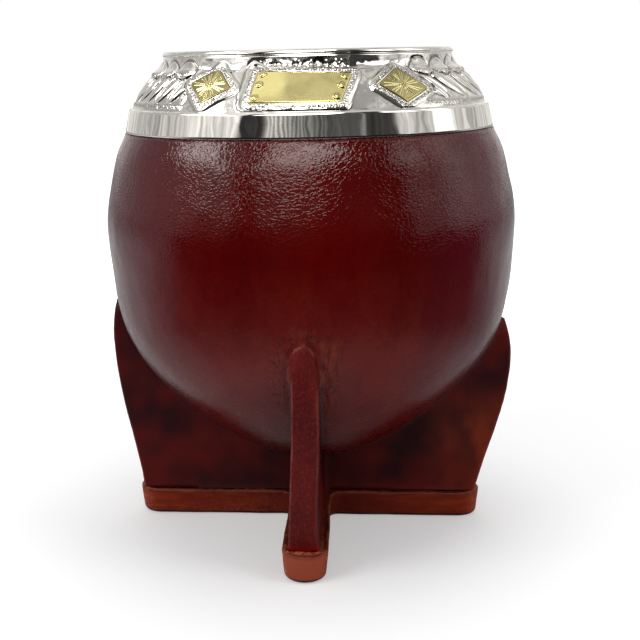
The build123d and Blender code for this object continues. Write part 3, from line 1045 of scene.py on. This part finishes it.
def leather_wear_and_painted_light(g, here, colour, front, cracks):
    """Rubbed and cracked where the skin is gathered, a painted highlight in a thin line along the
    front fin's corners, red at its foot, and painted shade in the crease between fin and gourd."""
    x, _, z = g.split(here)
    streaks = g.noise(g.place((1, 1, 0.35)), 1.8, 4.0)
    rubbed = g.times(g.range(streaks, 0.45, 0.66, 0, 0.7), g.range(x, -6, 4, 0.25, 1.0))
    # Painted highlight: a thin pale line along the fins' outer corners, where they would catch light.
    line = g.times(g.range(g.attribute("corner"), 0.32, 0.50, 1, 0, smooth=True),
                   g.range(g.noise(here, 4.0, 3.0), 0.35, 0.6, 0.1, 0.6), g.range(x, -1, 2, 1.0, 0.45))
    ragged = g.plus(z, g.times(g.noise(here, 1.3, 3.0), 2.4))
    foot = g.range(ragged, SOLE_TOP + 2.8, SOLE_TOP + 1.8, smooth=True)
    return g.layers(
        colour,
        (g.times(g.attribute("pucker"), rubbed), "pucker_rubbed"),
        (g.times(cracks, 0.8), "crack"),
        (line, "corner_painted_highlight"),
        (g.times(foot, front, 0.75), "red_foot"),
        # Painted shade in the crease between fin and gourd.
        (g.times(g.attribute("crease"), 0.75), "crease"))


def leather_grain(g, here, cracks):
    """Fine crinkled grain, flat-topped between narrow grooves, over low dents and gathered folds."""
    warp = g.noise(here, 1.4, 2.0, 0.5, output=1)
    bent = g.add("VectorMath", {0: g.place((1, 1, 1.3)), 1: warp}, operation="ADD")
    cells = g.add("TexVoronoi", {"Vector": bent, "Scale": 1 / 0.95}, feature="DISTANCE_TO_EDGE")
    crinkle = g.noise(g.place((1, 1, 1.5)), 1.3, 3.0)
    grain = g.plus(g.times(g.range(cells, 0.0, 0.28, smooth=True), 0.40), g.times(crinkle, 0.5))
    folds = g.times(g.noise(g.place((1, 1, 0.3)), 0.9, 4.0, 0.6, 0.6), g.attribute("pucker"))
    folds = g.minus(g.times(folds, 0.35), g.times(cracks, 0.12))
    normal = g.bump(g.noise(g.place((1, 1, 0.5)), 4.0, 3.0), 0.06)
    normal = g.bump(folds, 0.40, normal)
    stronger_up = g.range(g.split(here)[2], 60, 82, 0.3, 1.0)
    return g.bump(g.times(grain, stronger_up), 0.065, normal)


def leather_material(name, shine, polish):
    """The dyed leather, polished on the gourd and duller on the fins."""
    g, here = new_material(name)
    _, y, z = g.split(here)
    patches = g.noise(g.place((1, 1, 0.5)), 7.0, 4.0)
    low = g.times(g.range(z, 70, 48), g.range(y, -25, -45))
    front = g.range(y, -36, -41, smooth=True)
    cracks = g.minus(g.noise(g.place((1, 1, 0.28)), 2.4, 3.0, 0.6, 0.8), 0.5)
    cracks = g.range(g.math("ABSOLUTE", cracks), 0.0, 0.022, 1, 0, smooth=True)
    cracks = g.times(cracks, g.attribute("pucker"))
    fin = fin_dye_and_painted_shade(g, here, front, patches)
    colour = g.mix(g.attribute("fin"), gourd_dye_and_painted_sheen(g, here, low, patches), fin)
    colour = leather_wear_and_painted_light(g, here, colour, front, cracks)
    rough = g.range(g.noise(here, 3.0, 3.0), 0.35, 0.65, polish, polish + 0.05)
    rough = g.plus(rough, g.range(z, 72, 52, 0, 0.20, smooth=True))
    return g.principled(colour, rough, leather_grain(g, here, cracks), shine)


def sole_material():
    """Thick tan leather: dark on top, with painted shade under the cup and a painted contact shadow along
    its foot, frayed round the feet, worn and with a painted highlight on its edges.
    """
    g, here = new_material("sole_leather_with_painted_light")
    x, y, z = g.split(here)
    layers = g.noise(g.place((0.25, 0.25, 2.0)), 2.2, 4.0)
    patch = g.noise(here, 6.0, 3.0)
    inner = g.range(g.math("ABSOLUTE", x), 26, 6, 0, 0.75)
    tip = g.range(y, -38, -43, smooth=True)
    frayed = g.times(g.range(g.attribute("foot"), 1.3, 0.5), g.range(g.noise(here, 0.7, 4.0), 0.42, 0.56))
    colour = g.layers(
        "sole",
        (g.range(layers, 0.4, 0.65), "sole_light"),
        (g.range(patch, 0.45, 0.7, 0, 0.6), "sole_patch"),
        (g.times(g.range(z, SOLE_TOP - 0.9, SOLE_TOP - 0.2), 0.75), "sole_top"),
        # Painted shade on the sole's arms under the cup.
        (g.times(inner, g.range(g.math("ABSOLUTE", y), 40, 30)), "sole_painted_shade"),
        (g.times(tip, g.range(z, SOLE_TOP, SOLE_TOP - 0.8, 0, 0.55)), "sole_tip"),
        (g.times(frayed, g.range(y, -34, -42, 0.15, 0.8)), "sole_frayed"),
        # Painted contact shadow: dark along the sole's bottom edge where it meets the floor.
        (g.range(z, 1.2, 0.6, 0, 0.9, smooth=True), "sole_painted_contact_shadow"),
        # Worn edges that also carry a painted highlight along the sole's rounded corners.
        (g.times(g.attribute("edge"), g.range(patch, 0.4, 0.6), 0.5), "sole_worn_and_highlit_edge"))
    normal = g.bump(g.noise(here, 0.8, 4.0), 0.06)
    return g.principled(colour, g.range(patch, 0.3, 0.7, 0.38, 0.55), normal, 0.14)


def rim_material():
    """Polished nickel silver with fine scratches round the band, matt and tarnished in the chasing."""
    g, here = new_material("nickel_silver")
    matted = g.attribute("matted")
    colour = g.layers(
        "silver",
        (g.noise(here, 5.0, 3.0), "silver_light"),
        (g.times(matted, 0.55), "silver_matt"),
        (g.times(g.attribute("recess"), 0.85), "silver_recess"))
    scratches = g.noise(g.place((0.15, 0.15, 7.0)), 0.9, 3.0)
    rough = g.plus(g.range(scratches, 0.45, 0.7, 0.02, 0.07), g.times(matted, 0.07))
    band = g.range(g.split(here)[2], BAND_TOP + 0.4, BAND_TOP - 0.4)
    normal = g.bump(g.times(scratches, band), 0.002)
    normal = g.bump(g.times(g.noise(here, 0.4, 2.0), matted), 0.05, normal)
    return g.principled(colour, rough, normal, metallic=1.0)


def brass_material():
    """Pale brass, satin on the diamonds and pearls, with a painted highlight where the pattern is cut."""
    g, here = new_material("pale_brass")
    cut = g.attribute("cut")
    satin = g.times(g.attribute("satin"), 0.6)
    colour = g.layers("brass", (g.noise(here, 2.5, 3.0), "brass_light"), (satin, "brass_satin"),
                      # Painted highlight: the cut lines are coloured pale as if catching light.
                      (cut, "brass_cut_highlight"))
    brushed = g.noise(g.place((5.0, 5.0, 0.5)), 0.7, 3.0)
    rough = g.plus(g.range(brushed, 0.3, 0.7, 0.10, 0.20), g.times(cut, 0.25))
    return g.principled(colour, rough, g.bump(g.noise(here, 1.2, 3.0), 0.02), metallic=1.0)


def gourd_material():
    """The bare calabash inside: blotched and fibrous."""
    g, here = new_material("calabash")
    fibres = g.noise(g.place((1, 1, 0.25)), 2.5, 5.0)
    blotches = g.range(g.noise(here, 14.0, 3.0), 0.35, 0.65)
    dark = g.range(fibres, 0.5, 0.75, 0, 0.6)
    colour = g.layers("gourd", (blotches, "gourd_light"), (dark, "gourd_fibre"))
    normal = g.bump(g.noise(here, 0.7, 3.0), 0.12, g.bump(fibres, 0.35))
    return g.principled(colour, 0.78, normal, 0.3)


# ================================================================ the object
def give(piece, *materials):
    piece.data.materials.clear()
    for material in materials:
        piece.data.materials.append(material)
    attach(piece, "root")


COVER_PIECE, ON_FIN = make_cover()
give(COVER_PIECE, leather_material("oxblood_leather", shine=0.30, polish=0.06),
     leather_material("fin_leather", shine=0.15, polish=0.28))
COVER_PIECE.data.polygons.foreach_set("material_index", ON_FIN)
give(make_sole(), sole_material())
give(make_rim(), rim_material())
BRASS = brass_material()
for place, turn in ORNAMENT_TURNS.items():
    shapes = {f"plate_{place}": PLATE, f"diamond_{place}_left": LEFT_DIAMOND,
              f"diamond_{place}_right": RIGHT_DIAMOND}
    for seed, (name, corners) in enumerate(shapes.items(), start=61):
        placed = [(degrees + turn, share) for degrees, share in corners]
        give(make_ornament(name, placed, name.startswith("diamond"), seed), BRASS)
for node in sorted(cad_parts):
    if node.startswith("rivet_"):
        give(make_pearl(node), BRASS)
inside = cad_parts["gourd_shell"]
inside.data.materials.clear()
inside.data.materials.append(gourd_material())


# ================================================================ floor, light, camera
FLOOR_HALF = 3000.0
FLOOR_GLOW = 0.30
WORLD_LIGHT = 0.42
WARM = (1.0, 0.975, 0.94, 1)
# How bright the room is, low down, as the polished metal shows it: degrees round from the
# front toward the cup's right, and brightness.
ROOM = [
    (-180, 0.95), (-150, 0.80), (-122, 0.50), (-95, 0.62), (-80, 0.75), (-72, 0.95), (-43, 0.95),
    (-41.5, 0.05), (-26.5, 0.04), (-24.5, 0.62), (-12, 0.36), (0, 0.19), (14, 0.11), (33, 0.10),
    (35.6, 0.08), (36.4, 0.5), (37.2, 0.05), (55, 0.05), (58, 0.32), (62, 0.9), (69, 0.7),
    (78, 0.48), (86, 0.95), (105, 0.85), (125, 0.62), (150, 0.80), (180, 0.95),
]
# Bright panels: degrees round from and to at PANEL_LEVEL, how far each of these sides leans per
# degree up, degrees up from and to, how the lower edge drops per degree round, and brightness.
PANELS = [
    (-97, -45, 0.50, -0.95, 19, 50, 0.20, 10.2),
    (-36, 0, 0.40, 0.90, 24, 56, 0.0, 7.4),
    (52, 76, 0.0, 0.0, 20, 42, 0.15, 2.6),
    (84, 104, 0.0, 0.0, 8, 40, 0.0, 1.2),
]
PANEL_LEVEL = 20.0
# Lamps the metal and leather don't show: place, aim height and size in metres, and power.
LAMPS = {
    "left_softbox": ((-0.42, -0.30, 0.38), 0.06, (0.30, 0.30), 1.3),
    "right_softbox": ((0.46, -0.22, 0.34), 0.06, (0.24, 0.30), 0.8),
    "top_softbox": ((0.0, 0.10, 0.60), 0.05, (0.40, 0.40), 1.6),
}
CAMERA_PLACE = (11.23, -280.0, 110.87)
CAMERA_DIP, CAMERA_TURN = 12.57, 1.9
CAMERA_LENS = 66.76


def make_floor():
    corners = [(-1, -1, 0), (1, -1, 0), (1, 1, 0), (-1, 1, 0)]
    floor = new_piece("floor", FLOOR_HALF * np.array(corners), [[0, 1, 2, 3]])
    g, here = new_material("white_floor")
    x, y, _ = g.split(here)
    path = g.add("LightPath").node.outputs
    colour = g.mix(g.noise(here, 40.0, 3.0), "floor", "floor_light")
    # Painted dark reflection: as reflections see it, the floor turns dark from a little way in front of
    # the cup and darker toward the right, which the leather and metal show.
    away = g.add("VectorMath", {0: here}, 1, operation="LENGTH")
    front = g.range(g.minus(y, g.times(x, 0.25)), 105, -65, smooth=True)
    beyond = g.times(g.range(away, 52, 140), front)
    dim = g.times(g.range(x, -30, 50, 0, 0.45, smooth=True), front)
    beyond = g.times(g.math("MAXIMUM", beyond, dim), path["Is Glossy Ray"])
    paper = g.add("BsdfDiffuse", {"Color": g.mix(beyond, colour, "floor_dark_in_reflections")})
    glow = g.range(away, 110, 330, FLOOR_GLOW, 1.0, smooth=True)
    light = g.add("Emission", {"Color": WHITE, "Strength": g.times(path["Is Camera Ray"], glow)})
    floor.data.materials.append(g.finish(g.add("AddShader", {0: paper, 1: light})))


def low_room(g, way, turn, degrees, rise):
    """The room's brightness near the horizon: windows, a blind's stripes, dark low down in front."""
    ramp = g.add("ValToRGB", {"Fac": g.plus(g.times(turn, 0.5 / math.pi), 0.5)}).node
    stops = ramp.color_ramp.elements
    for number, (there, bright) in enumerate(ROOM):
        place = there / 360 + 0.5
        stop = stops[number] if number < 2 else stops.new(place)
        stop.position = place
        stop.color = (bright, bright, bright, 1)
    slats = g.noise(g.scaled(way, (30.0, 30.0, 4.0)), 1.0, 3.0, 0.5)
    room = g.times(ramp.outputs[0], g.range(slats, 0.36, 0.64, 0.65, 1.35))
    blind = g.times(g.range(degrees, -25, -23), g.range(degrees, 12, 15, 1, 0))
    stripes = g.plus(g.math("SINE", g.times(turn, 128.0)),
                     g.times(g.math("SINE", g.times(g.split(way)[2], 480.0)), 0.5))
    room = g.times(room, g.plus(1.0, g.times(stripes, blind, 0.55)))
    ahead = g.times(g.range(degrees, -74, -62), g.range(degrees, 50, 62, 1, 0))
    dark = g.times(ahead, g.range(rise, 6, 13, 0.75, 0, smooth=True))
    return g.times(room, g.minus(1.0, dark))


def ceiling(g, way):
    """The cloudy ceiling, brighter to the left."""
    clouds = g.noise(way, 1 / 3.4, 3.0, 0.5)
    left = g.range(g.split(way)[0], -0.08, -0.22, 0, 0.42, smooth=True)
    return g.plus(g.range(clouds, 0.44, 0.56, 0.42, 0.78, smooth=True), left)


def panel_light(g, degrees, rise, start, end, start_lean, end_lean, base, top, drop, bright):
    """One leaning bright panel with soft edges, brighter toward its top."""
    up = g.minus(rise, PANEL_LEVEL)
    from_start = g.minus(degrees, g.times(up, start_lean))
    from_end = g.minus(degrees, g.times(up, end_lean))
    over = g.plus(rise, g.times(g.minus(degrees, end), drop))
    return g.times(
        g.range(from_start, start - 1.5, start + 1.5, smooth=True),
        g.range(from_end, end - 2.5, end + 2.5, 1, 0, smooth=True),
        g.range(over, base - 2, base + 2, smooth=True),
        g.range(rise, top - 3, top + 3, 1, 0, smooth=True),
        g.range(rise, base, 48, 0.45, 1.25), bright)


def make_world():
    """Plain white for the camera, even light for the scene, and a room that only reflections show."""
    world = bpy.data.worlds.new("studio")
    bpy.context.scene.world = world
    g = Graph(world)
    way = g.add("TexCoord", output="Generated")
    x, y, z = g.split(way)
    turn = g.math("ARCTAN2", x, g.times(y, -1.0))
    degrees = g.times(turn, 180 / math.pi)
    rise = g.times(g.math("ARCSINE", z), 180 / math.pi)
    overhead = g.range(z, 0.74, 0.90, smooth=True)
    room = low_room(g, way, turn, degrees, rise)
    shown = g.add("Mix", {0: overhead, 2: room, 3: ceiling(g, way)}, data_type="FLOAT")
    for panel in PANELS:
        shown = g.plus(shown, panel_light(g, degrees, rise, *panel))
    warm = g.add("Mix", {0: 1.0, 6: shown, 7: WARM}, 2, data_type="RGBA", blend_type="MULTIPLY")
    path = g.add("LightPath").node.outputs
    light, mirror, plain = (g.add("Background", {"Color": colour, "Strength": strength})
                            for colour, strength in ((WHITE, WORLD_LIGHT), (warm, 1.0), (WHITE, 1.0)))
    both = g.add("MixShader", {0: path["Is Glossy Ray"], 1: light, 2: mirror})
    g.finish(g.add("MixShader", {0: path["Is Camera Ray"], 1: both, 2: plain}), "World")


def make_lamp(name, place, aim_height, size, power):
    lamp = bpy.data.lights.new(name, "AREA")
    lamp.shape = "RECTANGLE"
    lamp.size, lamp.size_y = size
    lamp.energy = power
    holder = bpy.data.objects.new(name, lamp)
    bpy.context.scene.collection.objects.link(holder)
    holder.location = place
    way = Vector((0, 0, aim_height)) - Vector(place)
    holder.rotation_euler = way.to_track_quat("-Z", "Y").to_euler()
    holder.visible_camera = False
    holder.visible_glossy = False


def make_camera():
    """The photograph's view: 280 mm in front of the cup, looking down a little."""
    camera = bpy.data.objects.new("camera", bpy.data.cameras.new("camera"))
    bpy.context.scene.collection.objects.link(camera)
    camera.location = np.array(CAMERA_PLACE) * MM
    camera.rotation_euler = Euler((math.radians(90 - CAMERA_DIP), 0, math.radians(CAMERA_TURN)))
    camera.data.sensor_width = 36.0
    camera.data.lens = CAMERA_LENS
    camera.data.clip_start = 0.01
    bpy.context.scene.camera = camera


make_floor()
make_world()
for name, settings in LAMPS.items():
    make_lamp(name, *settings)
make_camera()
bpy.context.scene.view_settings.view_transform = "Standard"
